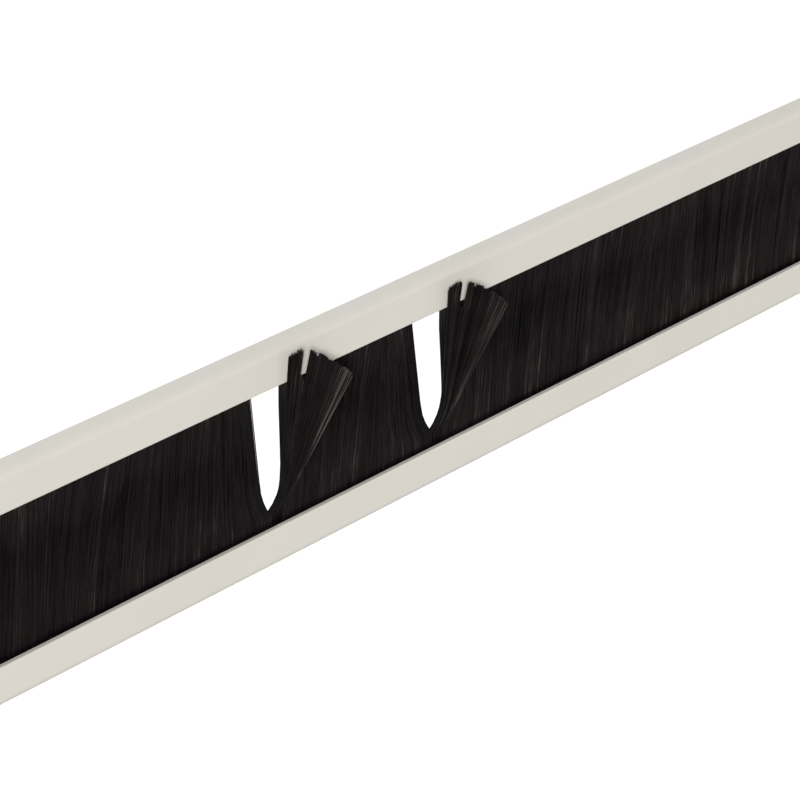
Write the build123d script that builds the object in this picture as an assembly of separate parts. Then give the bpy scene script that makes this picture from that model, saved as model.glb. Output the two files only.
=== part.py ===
from build123d import *
import math
import os

# A one-unit rack panel with a strip brush across its cable slot, in millimetres.
# X runs along the panel, the front faces -Y and Z is up. The origin is the middle of the four rack
# slots, on the rear face of the sheet, which seats on the rack.

# Panel sheet
panel_width = 482.6
panel_height = 43.6
sheet = 1.0
bend_radius = 0.6
edge_round = 0.3
ear_width = 19.3
ear_corner = 2.0
relief_width = 1.8
relief_margin = 0.5
top_flange = 3.2

# Cable slot, centred on the panel: its distance from the folds' ends, and the rails above and below
slot_margin = 12.0
rail_height = 7.7
slot_corner = 2.0

# Rack slots, one at each corner, by the distance of their centres from the panel's edges
rack_side_edge = 8.75
rack_top_edge = 5.925
rack_slot_width = 6.8
rack_slot_length = 10.0

# Strip brush: a crimped channel in the gutter along the panel's lower edge, and its core wire
channel_depth = 4.0
channel_height = 5.4
channel_wall = 0.6
channel_crimp = 0.2
channel_crimp_height = 1.6
channel_inner_corner = 0.3
channel_overrun = 6.0
channel_clearance = 0.1
gutter_lip = 3.4
wire_diameter = 1.1
wire_setback = 1.0
wire_clearance = 0.05

# Bristles: a pleated wall whose tips stop behind the upper rail
tip_gap = 1.6
bristle_thickness = 2.1
bristle_clearance = 0.08
bristle_overrun = 1.5
pleat_pitch = 2.0
pleat_depth = 0.3
tip_stagger = 0.5

# Parted gaps: blade-shaped, each with a tuft gathered at its right and pulled out in front
gap_pitch = 50.0
tuft_root = 3.6
tuft_clearance = 0.25
gap_apex_height = 2.0
gap_left_angle = 10.6
gap_left_foot = 4.6
gap_foot_height = 9.8
gap_right_bulge = 1.9
gap_right_bulge_height = 7.0
gap_right_angle = 5.4

# Tuft: gathered at a waist, then fanned out between a left and a right edge strand. Its strands are
# longest at the fan's crown, and their extra lengths are on top of the other bristles' length. Angles
# are in degrees; places along the fan, and the shares of it that the slit and the notches take, run
# from 0 to 1
tuft_pleats = 13
tuft_left_extra_length = 1.6
tuft_crown_extra_length = 2.8
tuft_right_extra_length = -1.2
tuft_root_thickness = 1.5
tuft_waist_thickness = 1.7
tuft_tip_thickness = 1.5
tuft_root_pleat_depth = 0.15
tuft_waist_pleat_depth = 0.2
tuft_tip_pleat_depth = 0.4
waist_height = 6.4
waist_width = 1.6
waist_shift = 1.9
waist_forward = 1.5
waist_right_forward = 2.6
tuft_left_side_angle = -8.8
tuft_right_side_angle = 10.5
tuft_left_forward_angle = 7.5
tuft_right_forward_angle = 20.5
tuft_crown_place = 0.2
tuft_slit_place = 0.225
tuft_slit_share = 0.115
tuft_slit_depth = 4.7
tuft_notch_places = (0.385, 0.62, 0.8)
tuft_notch_share = 0.05
tuft_notch_depth = 0.8

# End clips and their fasteners
clip_sheet = 1.0
clip_bend = 0.6
clip_width = 9.0
clip_height = 12.0
clip_gap = 0.1
clip_tab_reach = 3.6
clip_tab_margin = 0.5
clip_hole = 5.0
stud_diameter = 3.0
stud_length = 6.4
stud_flange_diameter = 4.4
stud_flange_thickness = 0.8
stud_height = 7.2
stud_chamfer = 0.4
washer_outer = 6.2
washer_inner = 3.2
washer_thickness = 0.8
washer_split = 0.4
nut_across_flats = 5.5
nut_thickness = 2.4
nut_thread_clearance = 0.05

# Levels and places that follow from the sizes above
fold_length = panel_width - 2 * ear_width
slot_length = fold_length - 2 * slot_margin
slot_height = panel_height - 2 * rail_height
rack_pitch_x = panel_width - 2 * rack_side_edge
rack_pitch_z = panel_height - 2 * rack_top_edge
gutter_floor = -panel_height / 2 + sheet
gutter_depth = channel_depth + 2 * channel_clearance
channel_front = channel_clearance
channel_back = channel_front + channel_depth
channel_middle = (channel_front + channel_back) / 2
channel_top = gutter_floor + channel_height
channel_floor = gutter_floor + channel_wall
channel_end = slot_length / 2 + channel_overrun
root_thickness = channel_depth - 2 * channel_wall - 2 * bristle_clearance
wire_level = channel_floor + root_thickness / 2
bristle_end = slot_length / 2 + bristle_overrun
tip_level = panel_height / 2 - sheet - tip_gap
bristle_length = tip_level - channel_top
gap_places = (-gap_pitch / 2, gap_pitch / 2)


def along_x(outline, start, end):
    """Extrude an outline drawn in (Y, Z) from one X to another."""
    face = make_face(Plane.YZ * outline)
    return Pos(start, 0, 0) * extrude(face, end - start, dir=(1, 0, 0))


def through_y(sketch, front, back):
    """Extrude a sketch drawn in (X, Z) from one Y to another."""
    return extrude(Plane((0, front, 0), x_dir=(1, 0, 0), z_dir=(0, -1, 0)) * sketch, front - back)


def pleats(left, right, thickness, depth, count):
    """Corner points of a pleated band between two points, its ridges on both faces."""
    left = Vector(*left)
    right = Vector(*right)
    normal = (right - left).normalized().rotate(Axis.Z, 90)
    front = []
    back = []
    for step in range(2 * count + 1):
        place = left + (right - left) * (step / (2 * count))
        half = thickness / 2 - (depth if step % 2 == 0 else 0)
        front.append(place - normal * half)
        back.append(place + normal * half)
    return front + back[::-1]


def pleated_face(points, level):
    outline = Polyline(*[(point.X, point.Y) for point in points], close=True)
    return Pos(0, 0, level) * make_face(outline)


def make_panel():
    """One folded sheet: face, top return, gutter along the bottom, and two flat ears."""
    half_height = panel_height / 2
    front_path = FilletPolyline(
        (top_flange, half_height),
        (-sheet, half_height),
        (-sheet, -half_height),
        (gutter_depth + sheet, -half_height),
        (gutter_depth + sheet, gutter_floor + gutter_lip),
        radius=bend_radius + sheet,
    )
    section = offset(front_path, sheet, side=Side.LEFT, closed=True)
    folded = along_x(section, -fold_length / 2, fold_length / 2)

    blank = RectangleRounded(panel_width, panel_height, ear_corner)
    middle = Rectangle(fold_length, panel_height)
    relief_height = bend_radius + sheet + relief_margin
    reliefs = [
        Pos(sx * (fold_length + relief_width) / 2, sz * (half_height - relief_height / 2))
        * Rectangle(relief_width, relief_height)
        for sx in (-1, 1)
        for sz in (-1, 1)
    ]
    ears = through_y(blank - middle - reliefs, -sheet, 0)

    slot = through_y(RectangleRounded(slot_length, slot_height, slot_corner), -2 * sheet, sheet)
    rack_slots = [
        through_y(Pos(x, z) * SlotOverall(rack_slot_length, rack_slot_width), -2 * sheet, sheet)
        for x in (-rack_pitch_x / 2, rack_pitch_x / 2)
        for z in (-rack_pitch_z / 2, rack_pitch_z / 2)
    ]
    panel = folded + ears - slot - rack_slots
    front_face = panel.faces().filter_by(Plane.XZ).sort_by(Axis.Y)[0]
    return fillet(front_face.inner_wires().edges(), edge_round)


def make_channel():
    """U strip whose two walls are crimped in towards the bristles at the top."""
    crimp_level = channel_top - channel_crimp_height
    outer = Polyline(
        (channel_front + channel_crimp, channel_top),
        (channel_front, crimp_level),
        (channel_front, gutter_floor),
        (channel_back, gutter_floor),
        (channel_back, crimp_level),
        (channel_back - channel_crimp, channel_top),
        (channel_back - channel_crimp - channel_wall, channel_top),
        (channel_back - channel_wall, crimp_level),
        (channel_back - channel_wall, channel_floor),
        (channel_front + channel_wall, channel_floor),
        (channel_front + channel_wall, crimp_level),
        (channel_front + channel_crimp + channel_wall, channel_top),
        close=True,
    )
    strip = along_x(outer, -channel_end, channel_end)
    long_edges = strip.edges().filter_by(Axis.X)
    return fillet(long_edges.group_by(Axis.Z)[0], channel_inner_corner + channel_wall)


def make_core_wire():
    length = 2 * (channel_end - wire_setback)
    rod = extrude(Plane.YZ * Circle(wire_diameter / 2), length / 2, both=True)
    return Pos(0, channel_middle, wire_level) * rod


def bristle_root(start, end):
    """The part of the bristles inside the channel, folded round the core wire."""
    crimp_level = channel_top - channel_crimp_height
    half_root = root_thickness / 2
    half_neck = half_root - channel_crimp
    outline = Polyline(
        (channel_middle - half_root, channel_floor),
        (channel_middle + half_root, channel_floor),
        (channel_middle + half_root, crimp_level),
        (channel_middle + half_neck, channel_top),
        (channel_middle - half_neck, channel_top),
        (channel_middle - half_root, crimp_level),
        close=True,
    )
    hole = Plane.YZ * (Pos(channel_middle, wire_level) * Circle(wire_diameter / 2 + wire_clearance))
    bore = Pos(start, 0, 0) * extrude(hole, end - start, dir=(1, 0, 0))
    return along_x(outline, start, end) - bore


def gap_left_edge(apex):
    """The edge of the bristles left of a gap: from the apex in an arc, then leaning away."""
    foot = (apex - gap_left_foot, channel_top + gap_foot_height)
    rise = tip_level + tip_stagger - foot[1]
    lean = math.tan(math.radians(gap_left_angle))
    top = (foot[0] - rise * lean, foot[1] + rise)
    apex_level = channel_top + gap_apex_height
    arc = TangentArc(foot, (apex, apex_level), tangent=(lean, -1))
    return Line(top, foot) + arc + Line((apex, apex_level), (apex, channel_top))


def gap_right_edge(apex):
    """The edge of the bristles right of a gap: bowed out low down, then leaning back."""
    start = (apex + tuft_root, channel_top)
    bulge = (start[0] + gap_right_bulge, channel_top + gap_right_bulge_height)
    rise = tip_level + tip_stagger - bulge[1]
    top = (bulge[0] - rise * math.tan(math.radians(gap_right_angle)), bulge[1] + rise)
    return Polyline(start, bulge, top)


def tip_offset(index):
    """Uneven cut of the tips, the same on every build."""
    return tip_stagger * (0.6 * math.sin(2.4 * index) + 0.4 * math.sin(5.3 * index + 1))


def make_wall(left_gap, right_gap):
    """A stretch of bristles from one gap, or end of the strip, to the next."""
    start = -bristle_end if left_gap is None else left_gap + tuft_root
    end = bristle_end if right_gap is None else right_gap
    if left_gap is None:
        left_edge = Line((start, channel_top), (start, tip_level + tip_stagger))
    else:
        left_edge = gap_right_edge(left_gap)
    if right_gap is None:
        right_edge = Line((end, tip_level + tip_stagger), (end, channel_top))
    else:
        right_edge = gap_left_edge(right_gap)

    top_left = left_edge @ 1
    top_right = right_edge @ 0
    count = max(1, round((top_right.X - top_left.X) / pleat_pitch))
    step = (top_right.X - top_left.X) / count
    tips = [(top_left.X + i * step, tip_level + tip_offset(i)) for i in range(1, count)]
    top = Polyline(top_left, *tips, top_right)
    bottom = Line((end, channel_top), (start, channel_top))
    outline = make_face(left_edge + top + right_edge + bottom)

    reach_left = outline.bounding_box().min.X - pleat_pitch
    reach_right = outline.bounding_box().max.X + pleat_pitch
    pleat_count = round((reach_right - reach_left) / pleat_pitch)
    band = pleats(
        (reach_left, channel_middle),
        (reach_right, channel_middle),
        bristle_thickness,
        pleat_depth,
        pleat_count,
    )
    height = tip_level + 2 * tip_stagger - channel_top
    pleated = extrude(pleated_face(band, channel_top), height, dir=(0, 0, 1))
    slab = through_y(outline, channel_middle - bristle_thickness, channel_middle + bristle_thickness)
    return (pleated & slab) + bristle_root(start, end)


def between(left, right, place):
    return left + place * (right - left)


def strand_length(place):
    """Length of the fan's strands at a place from 0 to 1: crowned, and cut at the slit and the notches."""
    if place < tuft_crown_place:
        share = place / tuft_crown_place
        length = bristle_length + between(tuft_left_extra_length, tuft_crown_extra_length, share)
    else:
        share = (place - tuft_crown_place) / (1 - tuft_crown_place)
        length = bristle_length + between(tuft_crown_extra_length, tuft_right_extra_length, share)
    if abs(place - tuft_slit_place) < tuft_slit_share / 2:
        return length - tuft_slit_depth
    if any(abs(place - notch) < tuft_notch_share / 2 for notch in tuft_notch_places):
        return length - tuft_notch_depth
    return length


def strand_points(apex, place):
    """Root, apex level, waist and tip of the strand at a place from 0, the left, to 1, the right."""
    root_width = tuft_root - 2 * tuft_clearance
    root = Vector(apex + tuft_clearance + place * root_width, channel_middle, channel_top)
    neck = root + Vector(0, 0, gap_apex_height)
    waist = Vector(
        apex + waist_shift + place * waist_width,
        channel_middle - between(waist_forward, waist_right_forward, place),
        channel_top + waist_height,
    )
    side = between(tuft_left_side_angle, tuft_right_side_angle, place)
    forward = between(tuft_left_forward_angle, tuft_right_forward_angle, place)
    run = Vector(math.tan(math.radians(side)), -math.tan(math.radians(forward)), 1).normalized()
    below = gap_apex_height + (waist - neck).length
    return root, neck, waist, waist + run * (strand_length(place) - below)


def facets(lower, upper):
    """Triangles between two rows of points."""
    faces = []
    for a, b, c, d in zip(lower, lower[1:], upper[1:], upper):
        faces.append(Face(Wire.make_polygon([a, b, c])))
        faces.append(Face(Wire.make_polygon([a, c, d])))
    return faces


def make_tuft(apex):
    """A pleated fan of strands, gathered at its waist and opening out in front of the upper rail."""
    places = [step / (2 * tuft_pleats) for step in range(2 * tuft_pleats + 1)]
    strands = [strand_points(apex, place) for place in places]
    front = []
    back = []
    rows = (
        (tuft_root_thickness, tuft_root_pleat_depth),
        (tuft_root_thickness, tuft_root_pleat_depth),
        (tuft_waist_thickness, tuft_waist_pleat_depth),
        (tuft_tip_thickness, tuft_tip_pleat_depth),
    )
    for line, (thickness, depth) in zip(zip(*strands), rows):
        run = line[-1] - line[0]
        normal = Vector(run.X, run.Y).normalized().rotate(Axis.Z, 90)
        half = [thickness / 2 - (depth if step % 2 == 0 else 0) for step in range(len(line))]
        front.append([point - normal * size for point, size in zip(line, half)])
        back.append([point + normal * size for point, size in zip(line, half)])

    faces = [Face(Wire.make_polygon(front[0] + back[0][::-1]))]
    faces += facets(front[-1], back[-1])
    for low in range(len(front) - 1):
        faces += facets(front[low], front[low + 1])
        faces += facets(back[low], back[low + 1])
        for end in (0, -1):
            faces += facets([front[low][end], back[low][end]], [front[low + 1][end], back[low + 1][end]])
    fan = Solid(Shell(faces))
    return fan + bristle_root(apex + tuft_clearance, apex + tuft_root - tuft_clearance)


def make_clip(side):
    """Folded clip: a leg on the panel, a foot on the channel's top, a tab past its end."""
    inner = slot_length / 2 + bristle_overrun + clip_gap
    foot_end = channel_end + clip_gap + clip_sheet
    path = FilletPolyline(
        (0, channel_top + clip_height),
        (0, channel_top),
        (channel_back, channel_top),
        radius=clip_bend + clip_sheet,
    )
    section = offset(path, clip_sheet, side=Side.LEFT, closed=True)
    angle = along_x(section, inner, inner + clip_width)
    spare = Pos(foot_end, 0, channel_top) * Box(
        clip_width,
        channel_back + clip_sheet,
        clip_bend + clip_sheet,
        align=(Align.MIN, Align.MIN, Align.MIN),
    )
    tab_width = channel_depth - 2 * clip_tab_margin
    tab = Pos(channel_end + clip_gap, channel_middle, channel_top + clip_sheet) * Box(
        clip_sheet,
        tab_width,
        clip_tab_reach + clip_sheet,
        align=(Align.MIN, Align.CENTER, Align.MAX),
    )
    hole = through_y(Pos(*stud_place()) * Circle(clip_hole / 2), -clip_sheet, 2 * clip_sheet)
    clip = angle - spare + tab - hole
    return clip if side > 0 else mirror(clip, about=Plane.YZ)


def stud_place():
    """X and Z of the right-hand stud."""
    inner = slot_length / 2 + bristle_overrun + clip_gap
    return (inner + clip_width / 2, channel_top + stud_height)


def both_sides(shape):
    """A fastener drawn on the Y axis, set at the two stud places as one group of solids."""
    x, z = stud_place()
    return Compound(children=[Pos(-x, 0, z) * shape, Pos(x, 0, z) * shape])


def disc(diameter, start, end):
    return through_y(Circle(diameter / 2), start, end)


def make_studs():
    shaft = disc(stud_diameter, 0, stud_length)
    shaft = chamfer(shaft.edges().sort_by(Axis.Y)[-1], stud_chamfer)
    return both_sides(shaft + disc(stud_flange_diameter, 0, stud_flange_thickness))


def make_washers():
    ring = disc(washer_outer, clip_sheet, clip_sheet + washer_thickness)
    ring -= disc(washer_inner, 0, stud_length)
    split = Pos(0, clip_sheet, 0) * Box(
        washer_split,
        washer_thickness,
        washer_outer,
        align=(Align.CENTER, Align.MIN, Align.MIN),
    )
    return both_sides(ring - split)


def make_nuts():
    start = clip_sheet + washer_thickness
    hexagon = RegularPolygon(nut_across_flats / 2, 6, major_radius=False)
    nut = through_y(hexagon, start, start + nut_thickness)
    bore = disc(stud_diameter + 2 * nut_thread_clearance, 0, 2 * stud_length)
    return both_sides(nut - bore)


parts = {
    "panel": make_panel(),
    "brush_channel": make_channel(),
    "core_wire": make_core_wire(),
    "bristles_left": make_wall(None, gap_places[0]),
    "bristles_middle": make_wall(gap_places[0], gap_places[1]),
    "bristles_right": make_wall(gap_places[1], None),
    "parted_tuft_left": make_tuft(gap_places[0]),
    "parted_tuft_right": make_tuft(gap_places[1]),
    "end_clip_left": make_clip(-1),
    "end_clip_right": make_clip(1),
    "weld_studs": make_studs(),
    "lock_washers": make_washers(),
    "hex_nuts": make_nuts(),
}

os.makedirs("parts", exist_ok=True)
for name, part in parts.items():
    export_step(part, f"parts/{name}.step")
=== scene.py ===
import math

import bmesh
import bpy
import numpy as np
from mathutils import Matrix, Vector


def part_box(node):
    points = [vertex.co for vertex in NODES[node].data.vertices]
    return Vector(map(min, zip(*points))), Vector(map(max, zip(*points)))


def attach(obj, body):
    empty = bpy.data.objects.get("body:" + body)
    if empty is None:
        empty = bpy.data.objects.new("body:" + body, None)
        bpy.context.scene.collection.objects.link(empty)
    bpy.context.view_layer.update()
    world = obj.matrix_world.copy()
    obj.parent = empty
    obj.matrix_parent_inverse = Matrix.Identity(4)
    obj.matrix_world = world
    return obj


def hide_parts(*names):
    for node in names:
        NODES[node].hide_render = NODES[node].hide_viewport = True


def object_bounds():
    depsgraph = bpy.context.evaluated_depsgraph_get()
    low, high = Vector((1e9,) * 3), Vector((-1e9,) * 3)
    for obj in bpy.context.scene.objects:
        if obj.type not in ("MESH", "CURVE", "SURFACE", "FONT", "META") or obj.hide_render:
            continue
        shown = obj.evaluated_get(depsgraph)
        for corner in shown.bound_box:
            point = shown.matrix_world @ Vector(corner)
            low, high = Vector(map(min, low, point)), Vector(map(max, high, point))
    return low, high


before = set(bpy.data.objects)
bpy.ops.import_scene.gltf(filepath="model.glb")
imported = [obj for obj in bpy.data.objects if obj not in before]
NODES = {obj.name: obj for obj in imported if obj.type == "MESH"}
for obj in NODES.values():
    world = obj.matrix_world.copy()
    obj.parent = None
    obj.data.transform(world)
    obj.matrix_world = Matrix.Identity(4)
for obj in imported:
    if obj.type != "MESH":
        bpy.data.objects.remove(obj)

# Rack panel with a strip brush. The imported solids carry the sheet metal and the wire; the bristles are
# rebuilt here as single filaments, and the fasteners with threads, chamfers and bevels. Lengths are in
# metres; MM turns millimetres into them.
cad_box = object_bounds()
MM = 0.001

# Camera, from the photograph's edges
VIEW_AZIMUTH = -54.90
VIEW_ELEVATION = 22.32
VIEW_ROLL = 2.45
VIEW_DISTANCE = 830.4 * MM
VIEW_TARGET = Vector((10.82, -1.0, -0.28)) * MM
LENS = 200.0
SENSOR = 36.0
CLIP_START = 0.01
CLIP_END = 100.0

# Studio. The floor's bounce is what it gives back to the object; the camera sees its colour and lift
WHITE = (1.0, 1.0, 1.0)
FLOOR_LEVEL = -0.25
FLOOR_SIZE = 12.0
FLOOR_COLOUR = (0.93, 0.93, 0.93)
FLOOR_BOUNCE = (0.45, 0.45, 0.45)
FLOOR_LIFT = 0.46
FLOOR_NEAR = 0.9
FLOOR_FAR = 1.8
SKY_COLOUR = (0.97, 0.985, 1.0)
SKY_LIGHT = 0.10
KEY_LIGHT = {
    "azimuth": -54.5, "elevation": 19.0, "distance": 8.0, "size": 1.28, "power": 848.0,
    "colour": (1.0, 0.985, 0.96),
}
BACK_LIGHT = {
    "azimuth": 205.0, "elevation": 35.0, "distance": 2.4, "size": 1.8, "power": 43.0, "colour": WHITE,
}

# Bristle wall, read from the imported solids
CHANNEL_LOW, CHANNEL_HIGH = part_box("brush_channel")
WALL_LOW, WALL_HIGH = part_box("bristles_left")
FOOT_RISE = 1.7 * MM
TIP_DROP = 0.5 * MM
BRISTLE_FOOT = WALL_LOW.z + FOOT_RISE
CHANNEL_TOP = CHANNEL_HIGH.z
TIP_LEVEL = WALL_HIGH.z - TIP_DROP
FREE_HEIGHT = TIP_LEVEL - CHANNEL_TOP
WALL_MIDDLE = (CHANNEL_LOW.y + CHANNEL_HIGH.y) / 2
GAP_APEXES = [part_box(f"bristles_{side}")[1].x for side in ("left", "middle")]
GAP_WIDTH = 3.6 * MM


def smooth_step(x, low, high):
    """0 up to low, 1 from high on, and a smooth rise between them."""
    t = np.clip((x - low) / (high - low), 0.0, 1.0)
    return t * t * (3.0 - 2.0 * t)


def between(pair, place):
    """The value at a place between a pair: 0 is the first, and 1 the second."""
    return pair[0] + place * (pair[1] - pair[0])


# Materials: tones are pairs of ramp position and colour, and each roughness is a range
COAT_TONES = ((0.3, (0.653, 0.633, 0.586)), (0.7, (0.688, 0.667, 0.618)))
COAT_SPECK_SHARE = 0.35
COAT_ROUGHNESS = (0.48, 0.60)
COAT_GLOSS = 0.35
NYLON_TONES = (
    (0.0, (0.0039, 0.0035, 0.0034)), (0.6, (0.0143, 0.0128, 0.0127)), (1.0, (0.0660, 0.0620, 0.0590)),
)
NYLON_ROUGHNESS = (0.55, 0.36)
NYLON_GLOSS = 0.02
ZINC_GRAIN_SHARE = 0.25
ZINC_SHADE = 0.72
ZINC_ROUGHNESS = (0.28, 0.5)
PLATE_POSITIONS = (0.3, 0.65)
PLATE_ROUGHNESS = (0.42, 0.24)

# The nylon's drifts of tone: scale, how far each is drawn out along the bristles, amount. They are made
# from the middle of a noise, and the bristles darken at their roots between two heights: painted shade
NYLON_DRIFTS = [(1500.0, 0.05, 0.06), (1500.0, 0.16, 0.12), (120.0, 0.5, 0.13)]
NOISE_MIDDLE = (0.3, 0.7)
PAINTED_ROOT_SHADE_HEIGHTS = (-14.5 * MM, -13.5 * MM)
PAINTED_ROOT_SHADE_DEPTH = 0.6


def new_material(name):
    """A material, its node tree and its shader."""
    material = bpy.data.materials.new(name)
    material.use_nodes = True
    tree = material.node_tree
    shader = tree.nodes["Principled BSDF"]
    return material, tree, shader


def add(tree, kind, **values):
    """A node with its properties and input values set by name."""
    node = tree.nodes.new(kind)
    for name, value in values.items():
        if name in node.inputs:
            node.inputs[name].default_value = value
        else:
            setattr(node, name, value)
    return node


def add_ramp(tree, *stops):
    """A colour ramp through pairs of position and colour, in order."""
    node = add(tree, "ShaderNodeValToRGB")
    elements = node.color_ramp.elements
    while len(elements) < len(stops):
        elements.new(0.5)
    for element, (position, colour) in zip(elements, stops):
        element.position = position
        element.color = (*colour, 1.0)
    return node


def add_span(tree, target, source=(0.0, 1.0)):
    """A map of values from one range to another."""
    node = add(tree, "ShaderNodeMapRange")
    node.inputs["From Min"].default_value, node.inputs["From Max"].default_value = source
    node.inputs["To Min"].default_value, node.inputs["To Max"].default_value = target
    return node


def powder_coat():
    """Satin light grey powder coat: fine orange peel and a faint drift of tone."""
    material, tree, shader = new_material("powder_coat")
    link = tree.links.new
    place = add(tree, "ShaderNodeTexCoord")
    drift = add(tree, "ShaderNodeTexNoise", Scale=35.0, Detail=3.0)
    speck = add(tree, "ShaderNodeTexNoise", Scale=2600.0, Detail=2.0)
    peel = add(tree, "ShaderNodeTexNoise", Scale=900.0, Detail=1.5)
    blend = add(tree, "ShaderNodeMath", operation="MULTIPLY_ADD")
    blend.inputs[1].default_value = COAT_SPECK_SHARE
    tone = add_ramp(tree, *COAT_TONES)
    rough = add_span(tree, COAT_ROUGHNESS)
    bump = add(tree, "ShaderNodeBump", Strength=0.12, Distance=0.06 * MM)
    for texture in (drift, speck, peel):
        link(place.outputs["Object"], texture.inputs["Vector"])
    link(speck.outputs["Fac"], blend.inputs[0])
    link(drift.outputs["Fac"], blend.inputs[2])
    link(blend.outputs["Value"], tone.inputs["Fac"])
    link(tone.outputs["Color"], shader.inputs["Base Color"])
    link(speck.outputs["Fac"], rough.inputs["Value"])
    link(rough.outputs["Result"], shader.inputs["Roughness"])
    link(peel.outputs["Fac"], bump.inputs["Height"])
    link(bump.outputs["Normal"], shader.inputs["Normal"])
    shader.inputs["Specular IOR Level"].default_value = COAT_GLOSS
    return material


def nylon():
    """Black drawn nylon: each filament has its own depth of black, which drifts in streaks and patches.
    Towards the roots it is darkened as painted shade.
    """
    material, tree, shader = new_material("bristle_nylon")
    link = tree.links.new
    strand = add(tree, "ShaderNodeAttribute", attribute_name="strand_tone")
    place = add(tree, "ShaderNodeAttribute", attribute_name="strand_place")
    spot = add(tree, "ShaderNodeSeparateXYZ")
    # Painted shade: below the given heights the bristles darken towards their roots, where they stand in
    # the shadowed recess behind the lower rail
    depth = add_span(tree, (-PAINTED_ROOT_SHADE_DEPTH, 0.0), PAINTED_ROOT_SHADE_HEIGHTS)
    root_shaded = add(tree, "ShaderNodeMath", operation="ADD")
    link(place.outputs["Vector"], spot.inputs["Vector"])
    link(spot.outputs["Z"], depth.inputs["Value"])
    link(strand.outputs["Fac"], root_shaded.inputs[0])
    link(depth.outputs["Result"], root_shaded.inputs[1])
    total = root_shaded.outputs["Value"]
    for scale, squash, amount in NYLON_DRIFTS:
        stretch = add(tree, "ShaderNodeMapping", Scale=(1.0, 1.0, squash))
        noise = add(tree, "ShaderNodeTexNoise", Scale=scale, Detail=2.0)
        spread = add_span(tree, (-amount, amount), NOISE_MIDDLE)
        both = add(tree, "ShaderNodeMath", operation="ADD")
        link(place.outputs["Vector"], stretch.inputs["Vector"])
        link(stretch.outputs["Vector"], noise.inputs["Vector"])
        link(noise.outputs["Fac"], spread.inputs["Value"])
        link(total, both.inputs[0])
        link(spread.outputs["Result"], both.inputs[1])
        total = both.outputs["Value"]
    tone = add_ramp(tree, *NYLON_TONES)
    rough = add_span(tree, NYLON_ROUGHNESS)
    link(total, tone.inputs["Fac"])
    link(tone.outputs["Color"], shader.inputs["Base Color"])
    link(strand.outputs["Fac"], rough.inputs["Value"])
    link(rough.outputs["Result"], shader.inputs["Roughness"])
    shader.inputs["Specular IOR Level"].default_value = NYLON_GLOSS
    return material


def galvanised(name, colour, spangle):
    """Zinc-coated sheet: crystals of slightly different tone and gloss."""
    material, tree, shader = new_material(name)
    link = tree.links.new
    place = add(tree, "ShaderNodeTexCoord")
    crystal = add(tree, "ShaderNodeTexVoronoi", Scale=spangle)
    grain = add(tree, "ShaderNodeTexNoise", Scale=spangle * 6.0, Detail=3.0)
    mix = add(tree, "ShaderNodeMath", operation="MULTIPLY_ADD")
    mix.inputs[1].default_value = ZINC_GRAIN_SHARE
    tone = add_ramp(tree, (0.0, [ZINC_SHADE * value for value in colour]), (1.0, colour))
    rough = add_span(tree, ZINC_ROUGHNESS)
    bump = add(tree, "ShaderNodeBump", Strength=0.1, Distance=0.03 * MM)
    shade = add(tree, "ShaderNodeSeparateColor")
    for texture in (crystal, grain):
        link(place.outputs["Object"], texture.inputs["Vector"])
    link(crystal.outputs["Color"], shade.inputs["Color"])
    link(grain.outputs["Fac"], mix.inputs[0])
    link(shade.outputs["Red"], mix.inputs[2])
    link(mix.outputs["Value"], tone.inputs["Fac"])
    link(tone.outputs["Color"], shader.inputs["Base Color"])
    link(shade.outputs["Green"], rough.inputs["Value"])
    link(rough.outputs["Result"], shader.inputs["Roughness"])
    link(grain.outputs["Fac"], bump.inputs["Height"])
    link(bump.outputs["Normal"], shader.inputs["Normal"])
    shader.inputs["Metallic"].default_value = 1.0
    return material


def plated(name, bright, dull, scale):
    """Plated or drawn metal: cloudy tone and roughness at a fine scale."""
    material, tree, shader = new_material(name)
    link = tree.links.new
    place = add(tree, "ShaderNodeTexCoord")
    cloud = add(tree, "ShaderNodeTexNoise", Scale=scale, Detail=4.0)
    tone = add_ramp(tree, *zip(PLATE_POSITIONS, (dull, bright)))
    rough = add_span(tree, PLATE_ROUGHNESS)
    link(place.outputs["Object"], cloud.inputs["Vector"])
    link(cloud.outputs["Fac"], tone.inputs["Fac"])
    link(tone.outputs["Color"], shader.inputs["Base Color"])
    link(cloud.outputs["Fac"], rough.inputs["Value"])
    link(rough.outputs["Result"], shader.inputs["Roughness"])
    shader.inputs["Metallic"].default_value = 1.0
    return material


def dress(node, material):
    """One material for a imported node."""
    mesh = NODES[node].data
    mesh.materials.clear()
    mesh.materials.append(material)


NYLON = nylon()
GALVANISED_STRIP = galvanised("galvanised_strip", (0.56, 0.57, 0.58), 350.0)
GALVANISED_CLIP = galvanised("galvanised_clip", (0.60, 0.61, 0.62), 500.0)
ZINC = plated("zinc_plate", (0.66, 0.67, 0.69), (0.48, 0.49, 0.50), 900.0)
COPPER = plated("copper_flash", (0.72, 0.42, 0.27), (0.42, 0.22, 0.14), 1100.0)
WIRE = plated("drawn_wire", (0.52, 0.52, 0.52), (0.36, 0.36, 0.36), 1400.0)

dress("panel", powder_coat())
dress("brush_channel", GALVANISED_STRIP)
dress("core_wire", WIRE)
dress("end_clip_left", GALVANISED_CLIP)
dress("end_clip_right", GALVANISED_CLIP)


def add_piece(name, mesh, material, node, sharp_angle=None):
    """The mesh, smooth but for edges over a sharp angle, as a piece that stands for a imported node."""
    mesh.polygons.foreach_set("use_smooth", [True] * len(mesh.polygons))
    if sharp_angle is not None:
        mesh.set_sharp_from_angle(angle=sharp_angle)
    mesh.materials.append(material)
    mesh.update()
    piece = bpy.data.objects.new(name, mesh)
    bpy.context.scene.collection.objects.link(piece)
    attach(piece, "root")
    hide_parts(node)


# Filaments
FILAMENT_RADIUS = 0.11 * MM
GIRTH_SPREAD = (0.85, 1.15)
TIP_TAPER = 0.8


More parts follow.
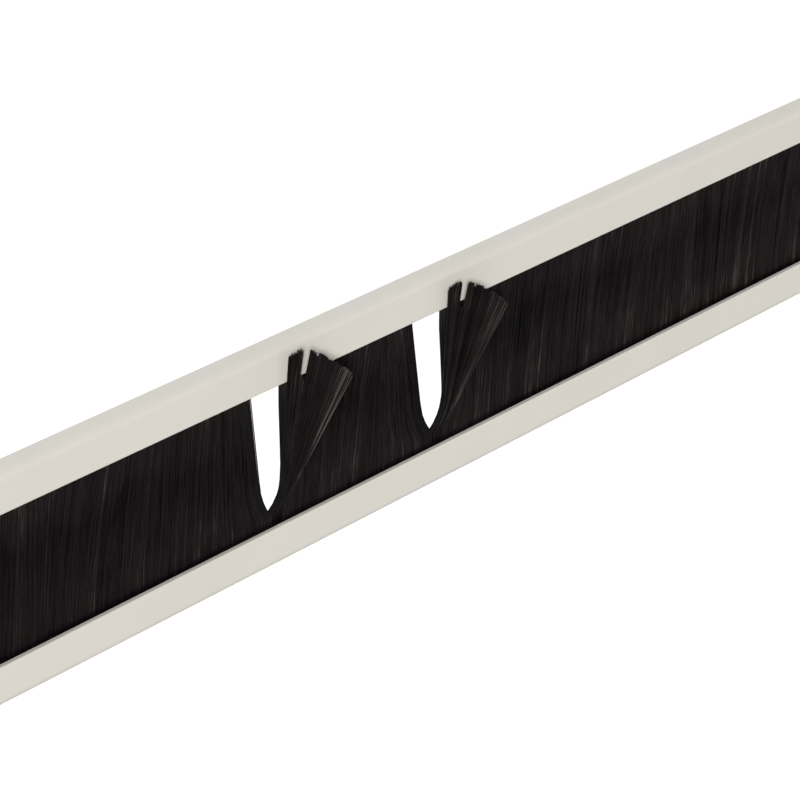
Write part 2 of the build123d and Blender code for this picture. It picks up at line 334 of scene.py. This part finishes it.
def tubes(paths, sides, girth, rng):
    """Closed tubes round rows of points, from root to tip: their points and faces."""
    count, rings, _ = paths.shape
    phase = rng.uniform(0.0, math.tau, count)
    angles = phase[:, None] + np.arange(sides)[None, :] * math.tau / sides
    circle = np.stack([np.cos(angles), np.sin(angles), np.zeros_like(angles)], axis=-1)
    size = FILAMENT_RADIUS * girth * rng.uniform(*GIRTH_SPREAD, count)
    reach = size[:, None] * np.linspace(1.0, TIP_TAPER, rings)[None, :]
    points = paths[:, :, None, :] + reach[:, :, None, None] * circle[:, None, :, :]

    base = (np.arange(count) * rings * sides)[:, None, None]
    ring = (np.arange(rings - 1) * sides)[None, :, None]
    side = np.arange(sides)[None, None, :]
    after = (side + 1) % sides
    low = base + ring
    high = low + sides
    quads = np.stack([low + side, low + after, high + after, high + side], axis=-1).reshape(-1, 4)
    foot = base[:, :, 0] + np.arange(sides)[None, ::-1]
    tip = base[:, :, 0] + (rings - 1) * sides + np.arange(sides)[None, :]
    return points.reshape(-1, 3), [quads, foot, tip]


def filament_piece(name, node, batches, rng):
    """One piece from batches of filaments; each batch is its paths, tones, sides and girths.

    Each point also keeps its filament's root and its own height, for streaks that follow the filaments.
    """
    points, faces, tones, places = [], [], [], []
    start = 0
    for paths, tone, sides, girth in batches:
        batch_points, batch_faces = tubes(paths, sides, girth, rng)
        points.append(batch_points)
        for group in batch_faces:
            faces.extend((group + start).tolist())
        tones.append(np.repeat(np.broadcast_to(tone, paths.shape[:2]), sides))
        place = paths.copy()
        place[:, :, :2] = paths[:, :1, :2]
        places.append(np.repeat(place.reshape(-1, 3), sides, axis=0))
        start += len(batch_points)
    mesh = bpy.data.meshes.new(name)
    mesh.from_pydata(np.concatenate(points).tolist(), [], faces)
    layer = mesh.attributes.new("strand_tone", "FLOAT", "POINT")
    layer.data.foreach_set("value", np.concatenate(tones))
    layer = mesh.attributes.new("strand_place", "FLOAT_VECTOR", "POINT")
    layer.data.foreach_set("vector", np.concatenate(places).ravel())
    add_piece(name, mesh, NYLON, node)


# Edges of the gaps, each parted by hand: the bristles to a gap's left bow away from it above its apex
# and lean on; those to its right swell past the tuft's root and lean back. Each tuft's fan has its own
# left edge, length and strength of painted highlight
GAPS = [
    {"apex": GAP_APEXES[0], "apex_rise": 2.75 * MM, "bow": 2.44 * MM, "bow_height": 7.0 * MM,
     "left_lean": 0.19, "swell": 1.9 * MM, "swell_ease": 10.5 * MM, "right_lean": 0.095,
     "fan_left_angle": -7.6, "fan_shorter": 0.0, "fan_highlight": 1.0},
    {"apex": GAP_APEXES[1], "apex_rise": 3.75 * MM, "bow": 2.5 * MM, "bow_height": 6.5 * MM,
     "left_lean": 0.225, "swell": 3.2 * MM, "swell_ease": 8.0 * MM, "right_lean": 0.15,
     "fan_left_angle": -9.0, "fan_shorter": 1.0 * MM, "fan_highlight": 0.65},
]
SWELL_HEIGHT = 3.4 * MM
LEFT_PUSH_REACH = 30.0 * MM
RIGHT_PUSH_REACH = 14.0 * MM
PUSH_CURVE = 1.5

# Beside a gap the filaments sway less, and those at its right edge are thicker, so no light comes
# through between them
LEFT_CALM = 3.0 * MM
RIGHT_CALM = 6.5 * MM
EDGE_SWAY = 0.06
EDGE_GIRTH = 1.6
EDGE_REACH = 2.2 * MM

# Packing of the wall: the front and rear rows lean in clumps, and the thicker rows between them keep
# it dense. Layers are first row, last row and sway
COLUMN_PITCH = 0.26 * MM
COLUMN_JITTER = 0.4
ROWS = 8
ROW_PITCH = 0.26 * MM
ROW_JITTER = 0.3
ROW_LIMIT = 0.93 * MM
CLUMP_PITCH = 1.1 * MM
LAYERS = [(0, 2, 1.0), (3, 4, 0.04), (5, 7, 1.0)]
CORE_GIRTH = 2.3
CORE_JITTER = 0.1

# How the wall's filaments lean and bend, one by one and in clumps, and how the whole wall was brushed
CLUMP_LEAN = 0.8 * MM
CLUMP_GATHER = 0.3
STRAND_LEAN = 0.4 * MM
STRAND_BOW = 0.2 * MM
STRAND_DRIFT = 0.06 * MM
STRAY_SHARE = 0.08
STRAY_LEAN = 2.6 * MM
LEAN_CURVE = 1.3
BRUSHED_LEAN = 2.6 * MM
BRUSHED_WAVES = [(19.0 * MM, 0.8 * MM), (43.0 * MM, 1.4 * MM), (71.0 * MM, 1.2 * MM)]
BRUSHED_FADE = 24.0 * MM
BRUSHED_CURVE = 1.8
TIP_SPREAD = (-0.5 * MM, 0.3 * MM)

# Tones of the wall, with a painted sheen at its roots and tips, by the share of a filament's length
WALL_TONE = 0.13
CLUMP_TONES = 0.09
STRAND_TONES = 0.11
TONE_LIMIT = 0.42
PAINTED_ROOT_SHEEN = 0.42
PAINTED_ROOT_SHEEN_END = 0.5
PAINTED_TIP_SHEEN = 0.45
PAINTED_TIP_SHEEN_START = 0.6

# Rings of a wall filament, by the share of its length: more of them near a gap
NEAR_REACH = 16.0 * MM
WALL_SIDES = 4
FAR_RINGS = np.array([0.0, 0.22, 0.58, 1.0])
NEAR_RINGS = np.array([0.0, 0.09, 0.13, 0.17, 0.21, 0.25, 0.30, 0.38, 0.5, 0.7, 1.0])


def left_push(gap, rise):
    """How far a gap's left edge has moved from the apex, by height above the channel."""
    above = np.clip(rise - gap["apex_rise"], 0.0, None)
    left = np.clip(1.0 - above / gap["bow_height"], 0.0, None)
    return gap["bow"] * (1.0 - left ** 2) + gap["left_lean"] * above


def right_push(gap, rise):
    """How far a gap's right edge has moved from the tuft's root, by height above the channel."""
    swell = gap["swell"] * (1.0 - np.exp(-rise / SWELL_HEIGHT)) * smooth_step(rise, 0.0, gap["swell_ease"])
    return swell - gap["right_lean"] * rise


def parted(px, root, rise, start, end, left_gap, right_gap):
    """Places along the wall after the gaps at either end of a stretch have pushed its filaments."""
    if right_gap is not None:
        weight = smooth_step(root, end - LEFT_PUSH_REACH, end) ** PUSH_CURVE
        push = left_push(right_gap, rise)
        straight = rise / FREE_HEIGHT * left_push(right_gap, FREE_HEIGHT)
        px = px - weight * between((straight, push), weight ** 2)
        px = np.minimum(px, end - push)
    if left_gap is not None:
        weight = 1.0 - smooth_step(root, start, start + RIGHT_PUSH_REACH)
        push = right_push(left_gap, rise)
        px = np.maximum(px + weight * push, start + push)
    return px


def wall_filaments(name, node, left_gap, right_gap, seed):
    """A stretch of bristles between two gaps, or the strip's ends, leaning in uneven clumps."""
    rng = np.random.default_rng(seed)
    low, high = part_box(node)
    start = FILAMENT_RADIUS + (low.x if left_gap is None else left_gap["apex"] + GAP_WIDTH)
    end = (high.x if right_gap is None else right_gap["apex"]) - FILAMENT_RADIUS
    columns = int((end - start) / COLUMN_PITCH)
    grids = np.meshgrid(np.arange(columns), np.arange(ROWS), indexing="ij")
    column, row = [grid.ravel() for grid in grids]
    count = column.size
    x = start + (column + 0.5 * (row % 2)) / (columns - 0.5) * (end - start)
    core = (row >= LAYERS[1][0]) & (row <= LAYERS[1][1])
    girth = np.where(core, CORE_GIRTH, 1.0)
    near = np.zeros(count, bool)
    calm = np.ones(count)
    if left_gap is not None:
        near |= x < start + NEAR_REACH
        calm *= between((EDGE_SWAY, 1.0), smooth_step(x, start, start + RIGHT_CALM))
        girth = np.where(x < start + EDGE_REACH, np.maximum(girth, EDGE_GIRTH), girth)
    if right_gap is not None:
        near |= x > end - NEAR_REACH
        calm *= between((EDGE_SWAY, 1.0), 1.0 - smooth_step(x, end - LEFT_CALM, end))
    jitter = calm * np.where(core, CORE_JITTER, COLUMN_JITTER)
    x = np.clip(x + jitter * rng.uniform(-1.0, 1.0, count) * COLUMN_PITCH, start, end)
    y = (row - (ROWS - 1) / 2) * ROW_PITCH + rng.uniform(-ROW_JITTER, ROW_JITTER, count) * ROW_PITCH

    lean, bow, tones = np.zeros(count), np.zeros(count), np.zeros(count)
    clumps = int((end - start) / CLUMP_PITCH)
    for first, last, sway in LAYERS:
        layer = (row >= first) & (row <= last)
        size = int(layer.sum())
        centres = np.sort(rng.uniform(start, end, clumps))
        nearest = np.abs(x[layer][:, None] - centres[None, :]).argmin(axis=1)
        lean[layer] = rng.normal(0.0, CLUMP_LEAN, clumps)[nearest] + rng.normal(0.0, STRAND_LEAN, size)
        lean[layer] += rng.uniform(0.0, CLUMP_GATHER, clumps)[nearest] * (centres[nearest] - x[layer])
        lean[layer] *= sway
        bow[layer] = sway * rng.normal(0.0, STRAND_BOW, size)
        tones[layer] = WALL_TONE + rng.normal(0.0, CLUMP_TONES, clumps)[nearest]
        tones[layer] += rng.normal(0.0, STRAND_TONES, size)
    tones = np.clip(tones, 0.0, TONE_LIMIT)
    stray = rng.uniform(0.0, 1.0, count) < STRAY_SHARE * ~core
    lean += stray * rng.normal(0.0, STRAY_LEAN, count)
    brushed = np.full(count, BRUSHED_LEAN)
    for wave, amount in BRUSHED_WAVES:
        brushed += amount * np.sin(math.tau * x / wave + rng.uniform(0.0, math.tau))
    brushed *= smooth_step(x, start, start + BRUSHED_FADE)
    brushed *= 1.0 - smooth_step(x, end - BRUSHED_FADE, end)
    drift = rng.normal(0.0, STRAND_DRIFT, count)
    tips = TIP_LEVEL + rng.uniform(*TIP_SPREAD, count)

    batches = []
    for chosen, shares in ((~near, FAR_RINGS), (near, NEAR_RINGS)):
        if not chosen.any():
            continue
        root = x[chosen][:, None]
        height = BRISTLE_FOOT + shares[None, :] * (tips[chosen] - BRISTLE_FOOT)[:, None]
        rise = np.clip(height - CHANNEL_TOP, 0.0, None)
        share = rise / FREE_HEIGHT
        px = root + (calm * lean)[chosen][:, None] * share ** LEAN_CURVE
        px += brushed[chosen][:, None] * share ** BRUSHED_CURVE
        px += (calm * bow)[chosen][:, None] * np.sin(math.pi * np.clip(share, 0.0, 1.0))
        px = parted(px, root, rise, start, end, left_gap, right_gap)
        px = np.clip(px, low.x + FILAMENT_RADIUS, high.x - FILAMENT_RADIUS)
        py = y[chosen][:, None] + drift[chosen][:, None] * share
        py = WALL_MIDDLE + np.clip(py, -ROW_LIMIT, ROW_LIMIT)
        # Painted sheen: the roots and tips are made lighter, standing in for light on them
        painted_sheen = PAINTED_ROOT_SHEEN * np.clip(1.0 - shares / PAINTED_ROOT_SHEEN_END, 0.0, 1.0)
        painted_sheen += PAINTED_TIP_SHEEN * np.clip((shares - PAINTED_TIP_SHEEN_START) / (1.0 - PAINTED_TIP_SHEEN_START), 0.0, 1.0)
        tone = tones[chosen][:, None] + painted_sheen[None, :]
        batches.append((np.stack([px, py, height], axis=-1), tone, WALL_SIDES, girth[chosen]))
    filament_piece(name, node, batches, rng)


# Tuft: gathered at a waist, then fanned out. Places run from 0, its left edge, to 1, its right edge,
# and pairs are values at those two edges
TUFT_STRANDS = 460
TUFT_SIDES = 5
TUFT_ROOT = (0.14 * MM, 3.5 * MM)
NECK_RISE = 3.1 * MM
WAIST_RISE = 7.2 * MM
WAIST_ALONG = (1.8 * MM, 3.4 * MM)
WAIST_FORWARD = (1.5 * MM, 2.6 * MM)
RIGHT_ANGLE = 11.6
FORWARD_ANGLE = (7.5, 20.5)
SIDE_ANGLE_SPREAD = 0.25
FORWARD_ANGLE_SPREAD = 0.4
TUFT_THICKNESS = 1.3 * MM
TUFT_ROUNDNESS = 0.85
TIP_DEPTH = np.array([0.55, -0.17])
BEND_SHARE = 0.22
BEND_REACH = 0.35
BEND_STEPS = (0.0, 0.2, 0.4, 0.6, 0.8, 1.0)
RUN_STEPS = (0.35, 0.7, 1.0)
BOX_MARGIN = 1.2 * FILAMENT_RADIUS

# Lengths of the strands by place, and the slit and notches in the fan: place, width, depth. The strands
# beside the slit keep straight
LENGTH_PLACES = np.array([0.0, 0.10, 0.17, 0.30, 0.50, 0.54, 0.70, 1.0])
STRAND_LENGTHS = np.array([36.7, 37.5, 38.0, 37.6, 36.7, 36.2, 35.6, 34.0]) * MM
LENGTH_SPREAD = (-0.4 * MM, 0.15 * MM)
SLIT = (0.224, 0.112, 5.6 * MM)
NOTCHES = [SLIT, (0.385, 0.06, 0.7 * MM), (0.62, 0.04, 0.8 * MM), (0.80, 0.04, 0.8 * MM)]
SLIT_STRAIGHT = (0.06, 0.12)

# Tones of the tuft, by clumps, strands and flecks along a strand
TUFT_TONE = 0.17
TUFT_CLUMPS = 17
TUFT_CLUMP_TONES = 0.1
TUFT_STRAND_TONES = 0.15
TUFT_FLECK_TONES = 0.12

# Two bands of strands at the tuft's right edge are painted paler as highlights: place, width, amount. They
# narrow from the waist on, and a painted highlight pales the strands' tips at the fan's right
PAINTED_HIGHLIGHT_BANDS = [(0.85, 0.035, 2.4), (0.975, 0.018, 1.7)]
HIGHLIGHT_SPREAD = 3.0
HIGHLIGHT_NARROWING = (0.35, 0.9)
HIGHLIGHT_BY_STRAND = (0.3, 1.0)
HIGHLIGHT_BY_FLECK = (0.1, 1.0)
HIGHLIGHT_MIDDLE = (0.45, 0.9)
HIGHLIGHT_REACH = 0.3
TIP_HIGHLIGHT_TONE = 0.6
TIP_HIGHLIGHT_PLACES = (0.4, 1.0)
TIP_HIGHLIGHT_CURVE = 10


def tuft_paths(gap, place, rng):
    """Rows of points along the strands of a tuft, from root to neck, waist and tip."""
    apex = gap["apex"]
    count = place.size
    depth = rng.uniform(-0.5, 0.5, count) * TUFT_THICKNESS
    depth *= np.sqrt(1.0 - TUFT_ROUNDNESS * (2.0 * place - 1.0) ** 2)
    zero = np.zeros(count)
    root = np.stack([apex + between(TUFT_ROOT, place), WALL_MIDDLE + depth, zero + BRISTLE_FOOT], axis=-1)
    neck = root.copy()
    neck[:, 2] = CHANNEL_TOP + NECK_RISE
    waist = root.copy()
    waist[:, 0] = apex + between(WAIST_ALONG, place)
    waist[:, 1] = WALL_MIDDLE - between(WAIST_FORWARD, place) + depth
    waist[:, 2] = CHANNEL_TOP + WAIST_RISE
    loose = smooth_step(np.abs(place - SLIT[0]), *SLIT_STRAIGHT)
    side_angle = between((gap["fan_left_angle"], RIGHT_ANGLE), place)
    side_angle += rng.normal(0.0, SIDE_ANGLE_SPREAD, count) * loose
    forward_angle = between(FORWARD_ANGLE, place) + rng.normal(0.0, FORWARD_ANGLE_SPREAD, count) * loose
    sideways = np.tan(np.radians(side_angle))
    forward = np.tan(np.radians(forward_angle))
    run = np.stack([sideways, -forward, zero + 1.0], axis=-1)
    run /= np.linalg.norm(run, axis=1)[:, None]
    length = np.interp(place, LENGTH_PLACES, STRAND_LENGTHS) + rng.uniform(*LENGTH_SPREAD, count)
    for middle, width, short in NOTCHES:
        length -= short * (np.abs(place - middle) < width / 2)
    length -= gap["fan_shorter"] + NECK_RISE + np.linalg.norm(waist - neck, axis=1)
    tip = waist + run * length[:, None]
    tip[:, :2] += depth[:, None] * TIP_DEPTH

    onward = waist + BEND_SHARE * (tip - waist)
    corner = waist + BEND_REACH * (waist - (neck + onward) / 2)
    knots = [root]
    for t in BEND_STEPS:
        knots.append((1 - t) ** 2 * neck + 2 * t * (1 - t) * corner + t ** 2 * onward)
    knots += [between((onward, tip), t) for t in RUN_STEPS]
    lowest = np.array(cad_box[0]) + BOX_MARGIN
    highest = np.array(cad_box[1]) - BOX_MARGIN
    return np.clip(np.stack(knots, axis=1), lowest, highest)


def tuft_tones(gap, place, rings, rng):
    """Tones along the strands of a tuft, with its painted highlight bands and painted highlights at the
    tips.
    """
    count = place.size
    along = np.linspace(0.0, 1.0, rings)[None, :]
    clump = np.minimum(place * TUFT_CLUMPS, TUFT_CLUMPS - 1).astype(int)
    tones = TUFT_TONE + rng.normal(0.0, TUFT_CLUMP_TONES, TUFT_CLUMPS)[clump]
    tones += rng.normal(0.0, TUFT_STRAND_TONES, count)
    tones = np.clip(tones[:, None] + rng.normal(0.0, TUFT_FLECK_TONES, (count, rings)), 0.0, 1.0)
    spread = between((HIGHLIGHT_SPREAD, 1.0), smooth_step(along, *HIGHLIGHT_NARROWING))
    # Painted highlights: two bands of strands along the fan's right edge are made paler, standing in for
    # light along them
    highlight = np.zeros((count, rings))
    for middle, width, amount in PAINTED_HIGHLIGHT_BANDS:
        highlight += gap["fan_highlight"] * amount * np.exp(-((place[:, None] - middle) / (width * spread)) ** 2)
    highlight *= rng.uniform(*HIGHLIGHT_BY_STRAND, count)[:, None]
    highlight *= rng.uniform(*HIGHLIGHT_BY_FLECK, (count, rings))
    highlight_centre = rng.uniform(*HIGHLIGHT_MIDDLE, count)[:, None]
    highlight *= np.exp(-((along - highlight_centre) / HIGHLIGHT_REACH) ** 2)
    # Painted highlight: the tips of the strands towards the fan's right are made paler
    tip_highlight = TIP_HIGHLIGHT_TONE * rng.uniform(0.0, 1.0, count) * smooth_step(place, *TIP_HIGHLIGHT_PLACES)
    return tones + highlight + tip_highlight[:, None] * along ** TIP_HIGHLIGHT_CURVE


def tuft_filaments(name, node, gap, seed):
    """The strands of a parted tuft."""
    rng = np.random.default_rng(seed)
    spots = np.arange(TUFT_STRANDS) + rng.uniform(-1.0, 1.0, TUFT_STRANDS)
    place = np.clip(spots / (TUFT_STRANDS - 1), 0.0, 1.0)
    paths = tuft_paths(gap, place, rng)
    tones = tuft_tones(gap, place, paths.shape[1], rng)
    filament_piece(name, node, [(paths, tones, TUFT_SIDES, 1.0)], rng)


wall_filaments("bristle_wall_left", "bristles_left", None, GAPS[0], 11)
wall_filaments("bristle_wall_middle", "bristles_middle", GAPS[0], GAPS[1], 12)
wall_filaments("bristle_wall_right", "bristles_right", GAPS[1], None, 13)
tuft_filaments("tuft_left", "parted_tuft_left", GAPS[0], 21)
tuft_filaments("tuft_right", "parted_tuft_right", GAPS[1], 24)


# Fasteners behind the panel: threaded studs, split washers and chamfered nuts, on axes along Y
TURN_STEPS = 48
SHARP_ANGLE = math.radians(28.0)
STUD_FLANGE = 2.2 * MM
STUD_RADIUS = 1.5 * MM
FLANGE_THICKNESS = 0.8 * MM
FLANGE_EDGE = 0.12 * MM
THREAD_START = 0.02 * MM
THREAD_PITCH = 0.5 * MM
THREAD_DEPTH = 0.31 * MM
THREAD_ROWS = 12
GROOVE_PEAK = 1.25
GROOVE_SLOPE = 2.5
TIP_CHAMFER = 0.45 * MM
NUT_BORE = 1.55 * MM
NUT_COUNTERSINK = 0.25 * MM
NUT_FACE_SHARE = 0.94
NUT_CHAMFER_SLOPE = math.tan(math.radians(30.0))
WASHER_BORE = 1.6 * MM
WASHER_BEVEL = 0.12 * MM
SPLIT_WIDTH = 0.4 * MM
SPLIT_SLANT = 0.35
STUD_LOW, STUD_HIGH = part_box("weld_studs")
WASHER_LOW, WASHER_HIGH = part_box("lock_washers")
NUT_LOW, NUT_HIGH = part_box("hex_nuts")
STUD_PLACES = [(side * (STUD_HIGH.x - STUD_FLANGE), (STUD_LOW.z + STUD_HIGH.z) / 2) for side in (-1, 1)]
TURN = np.arange(TURN_STEPS) * math.tau / TURN_STEPS


def ring_points(radius, level, turn):
    """Points round a Y axis, by radius, height and angle from the top; the three broadcast together."""
    radius, level, turn = np.broadcast_arrays(radius, level, turn)
    return np.stack([radius * np.sin(turn), level, radius * np.cos(turn)], axis=-1)


def stud_rings():
    """A weld flange and a threaded shank with a chamfered end."""
    base, end = STUD_LOW.y, STUD_HIGH.y
    flange = base + FLANGE_THICKNESS
    rings = [ring_points(radius, level, TURN) for radius, level in (
        (STUD_FLANGE - FLANGE_EDGE, base), (STUD_FLANGE, base + FLANGE_EDGE),
        (STUD_FLANGE, flange - FLANGE_EDGE), (STUD_FLANGE - FLANGE_EDGE, flange))]
    rows = int((end - flange) / THREAD_PITCH * THREAD_ROWS)
    for level in np.linspace(flange + THREAD_START, end, rows):
        phase = (level / THREAD_PITCH - TURN / math.tau) % 1.0
        groove = np.clip(GROOVE_PEAK - GROOVE_SLOPE * np.abs(phase - 0.5), 0.0, 1.0)
        radius = STUD_RADIUS - THREAD_DEPTH * groove
        limit = STUD_RADIUS - TIP_CHAMFER + (end - level)
        rings.append(ring_points(np.minimum(radius, limit), level, TURN))
    return np.stack(rings)


def nut_rings():
    """A hexagon with a flat at the top, corners cut by a cone on both faces, and a countersunk bore."""
    base, end = NUT_LOW.y, NUT_HIGH.y
    flat = (NUT_HIGH.z - NUT_LOW.z) / 2
    outer = flat / np.cos((TURN + math.pi / 6) % (math.pi / 3) - math.pi / 6)
    face = NUT_FACE_SHARE * flat
    drop = NUT_CHAMFER_SLOPE * (outer - face)
    sunk = NUT_BORE + NUT_COUNTERSINK
    return np.stack([ring_points(radius, level, TURN) for radius, level in (
        (NUT_BORE, end - NUT_COUNTERSINK), (NUT_BORE, base + NUT_COUNTERSINK), (sunk, base), (face, base),
        (outer, base + drop), (outer, end - drop), (face, end), (sunk, end))])


def washer_rings():
    """A bevelled ring with a slanted split at the top."""
    base, end = WASHER_LOW.y, WASHER_HIGH.y
    outer = (WASHER_HIGH.z - WASHER_LOW.z) / 2
    inner = WASHER_BORE
    bevel = WASHER_BEVEL
    middle = (base + end) / 2
    half = SPLIT_WIDTH / (inner + outer)
    rings = []
    for radius, level in (
        (inner + bevel, base), (outer - bevel, base), (outer, base + bevel), (outer, end - bevel),
        (outer - bevel, end), (inner + bevel, end), (inner, end - bevel), (inner, base + bevel),
    ):
        lean = SPLIT_SLANT * (level - middle) / outer
        turn = np.linspace(half + lean, math.tau - half + lean, TURN_STEPS)
        rings.append(ring_points(radius, level, turn))
    return np.stack(rings)


def skin(points, around=False, across=False, caps=""):
    """Quads over a grid of points, closed round its rows or columns, and its open ends capped."""
    rows, columns, _ = points.shape
    grid = np.arange(rows * columns).reshape(rows, columns)
    index = grid
    if across:
        index = np.concatenate([index, index[:1]])
    if around:
        index = np.concatenate([index, index[:, :1]], axis=1)
    quads = np.stack([index[:-1, :-1], index[:-1, 1:], index[1:, 1:], index[1:, :-1]], axis=-1)
    faces = quads.reshape(-1, 4).tolist()
    if caps == "rows":
        faces += [grid[0, ::-1].tolist(), grid[-1].tolist()]
    if caps == "columns":
        faces += [grid[:, 0].tolist(), grid[::-1, -1].tolist()]
    return points.reshape(-1, 3), faces


def fastener_piece(name, node, material, shape):
    """One fastener shape, its points and faces, set at both stud places as one piece."""
    points, faces = shape
    spots, polygons = [], []
    for x, z in STUD_PLACES:
        polygons += [[corner + len(spots) * len(points) for corner in face] for face in faces]
        spots.append(points + np.array([x, 0.0, z]))
    mesh = bpy.data.meshes.new(name)
    mesh.from_pydata(np.concatenate(spots).tolist(), [], polygons)
    turned = bmesh.new()
    turned.from_mesh(mesh)
    bmesh.ops.recalc_face_normals(turned, faces=turned.faces)
    turned.to_mesh(mesh)
    turned.free()
    add_piece(name, mesh, material, node, SHARP_ANGLE)


fastener_piece("stud_threads", "weld_studs", COPPER,
               skin(stud_rings(), around=True, caps="rows"))
fastener_piece("washer_rings", "lock_washers", ZINC,
               skin(washer_rings(), across=True, caps="columns"))
fastener_piece("nut_bodies", "hex_nuts", ZINC,
               skin(nut_rings(), around=True, across=True))


def seen_directly(tree):
    """1 for camera, glossy and transmission rays, so that metal shows the same background."""
    link = tree.links.new
    path = add(tree, "ShaderNodeLightPath")
    first = add(tree, "ShaderNodeMath", operation="MAXIMUM")
    second = add(tree, "ShaderNodeMath", operation="MAXIMUM")
    link(path.outputs["Is Camera Ray"], first.inputs[0])
    link(path.outputs["Is Glossy Ray"], first.inputs[1])
    link(first.outputs[0], second.inputs[0])
    link(path.outputs["Is Transmission Ray"], second.inputs[1])
    return second.outputs[0]


def make_floor():
    """White floor that takes the object's shadow near it, and runs into the white sky far from it."""
    half = FLOOR_SIZE / 2
    corners = [(x * half, y * half, FLOOR_LEVEL) for x, y in ((-1, -1), (1, -1), (1, 1), (-1, 1))]
    mesh = bpy.data.meshes.new("floor")
    mesh.from_pydata(corners, [], [(0, 1, 2, 3)])
    material = bpy.data.materials.new("floor_white")
    material.use_nodes = True
    tree = material.node_tree
    tree.nodes.clear()
    link = tree.links.new
    output = add(tree, "ShaderNodeOutputMaterial")
    diffuse = add(tree, "ShaderNodeBsdfDiffuse", Color=(*FLOOR_COLOUR, 1.0))
    dim = add(tree, "ShaderNodeBsdfDiffuse", Color=(*FLOOR_BOUNCE, 1.0))
    glow = add(tree, "ShaderNodeEmission", Strength=FLOOR_LIFT)
    both = add(tree, "ShaderNodeAddShader")
    white = add(tree, "ShaderNodeEmission", Strength=1.0)
    place = add(tree, "ShaderNodeTexCoord")
    reach = add(tree, "ShaderNodeVectorMath", operation="LENGTH")
    far = add_span(tree, (0.0, 1.0), (FLOOR_NEAR, FLOOR_FAR))
    far.interpolation_type = "SMOOTHSTEP"
    fade = add(tree, "ShaderNodeMixShader")
    mix = add(tree, "ShaderNodeMixShader")
    link(diffuse.outputs[0], both.inputs[0])
    link(glow.outputs[0], both.inputs[1])
    link(place.outputs["Object"], reach.inputs[0])
    link(reach.outputs["Value"], far.inputs["Value"])
    link(far.outputs["Result"], fade.inputs[0])
    link(both.outputs[0], fade.inputs[1])
    link(white.outputs[0], fade.inputs[2])
    link(seen_directly(tree), mix.inputs[0])
    link(dim.outputs[0], mix.inputs[1])
    link(fade.outputs[0], mix.inputs[2])
    link(mix.outputs[0], output.inputs["Surface"])
    mesh.materials.append(material)
    floor = bpy.data.objects.new("floor", mesh)
    bpy.context.scene.collection.objects.link(floor)


def make_world():
    """Faint sky light, with a white sky behind the object."""
    world = bpy.data.worlds.new("studio")
    world.use_nodes = True
    tree = world.node_tree
    tree.nodes.clear()
    link = tree.links.new
    output = add(tree, "ShaderNodeOutputWorld")
    light = add(tree, "ShaderNodeBackground", Color=(*SKY_COLOUR, 1.0), Strength=SKY_LIGHT)
    white = add(tree, "ShaderNodeBackground", Color=(*WHITE, 1.0), Strength=1.0)
    mix = add(tree, "ShaderNodeMixShader")
    link(seen_directly(tree), mix.inputs[0])
    link(light.outputs[0], mix.inputs[1])
    link(white.outputs[0], mix.inputs[2])
    link(mix.outputs[0], output.inputs["Surface"])
    bpy.context.scene.world = world


def direction(azimuth, elevation):
    """From the object towards the viewer: azimuth 0 is the front, and -90 the left."""
    turn = math.radians(azimuth)
    lift = math.radians(elevation)
    return Vector((math.sin(turn) * math.cos(lift), -math.cos(turn) * math.cos(lift), math.sin(lift)))


def area_light(name, azimuth, elevation, distance, size, power, colour):
    """A square lamp that faces the object and that the camera does not see."""
    data = bpy.data.lights.new(name, "AREA")
    data.size = size
    data.energy = power
    data.color = colour
    lamp = bpy.data.objects.new(name, data)
    towards = direction(azimuth, elevation)
    lamp.location = towards * distance
    lamp.rotation_mode = "QUATERNION"
    lamp.rotation_quaternion = (-towards).to_track_quat("-Z", "Y")
    lamp.visible_camera = False
    bpy.context.scene.collection.objects.link(lamp)


def make_camera():
    """The photograph's view: round the panel, above it, and rolled a little."""
    data = bpy.data.cameras.new("camera")
    data.lens = LENS
    data.sensor_width = SENSOR
    data.clip_start = CLIP_START
    data.clip_end = CLIP_END
    camera = bpy.data.objects.new("camera", data)
    back = direction(VIEW_AZIMUTH, VIEW_ELEVATION)
    facing = (-back).to_track_quat("-Z", "Y").to_matrix()
    roll = Matrix.Rotation(math.radians(VIEW_ROLL), 3, "Z")
    camera.rotation_mode = "QUATERNION"
    camera.rotation_quaternion = (facing @ roll).to_quaternion()
    camera.location = VIEW_TARGET + back * VIEW_DISTANCE
    bpy.context.scene.collection.objects.link(camera)
    bpy.context.scene.camera = camera


make_floor()
make_world()
area_light("key", **KEY_LIGHT)
area_light("back", **BACK_LIGHT)
make_camera()
bpy.context.scene.view_settings.view_transform = "Standard"
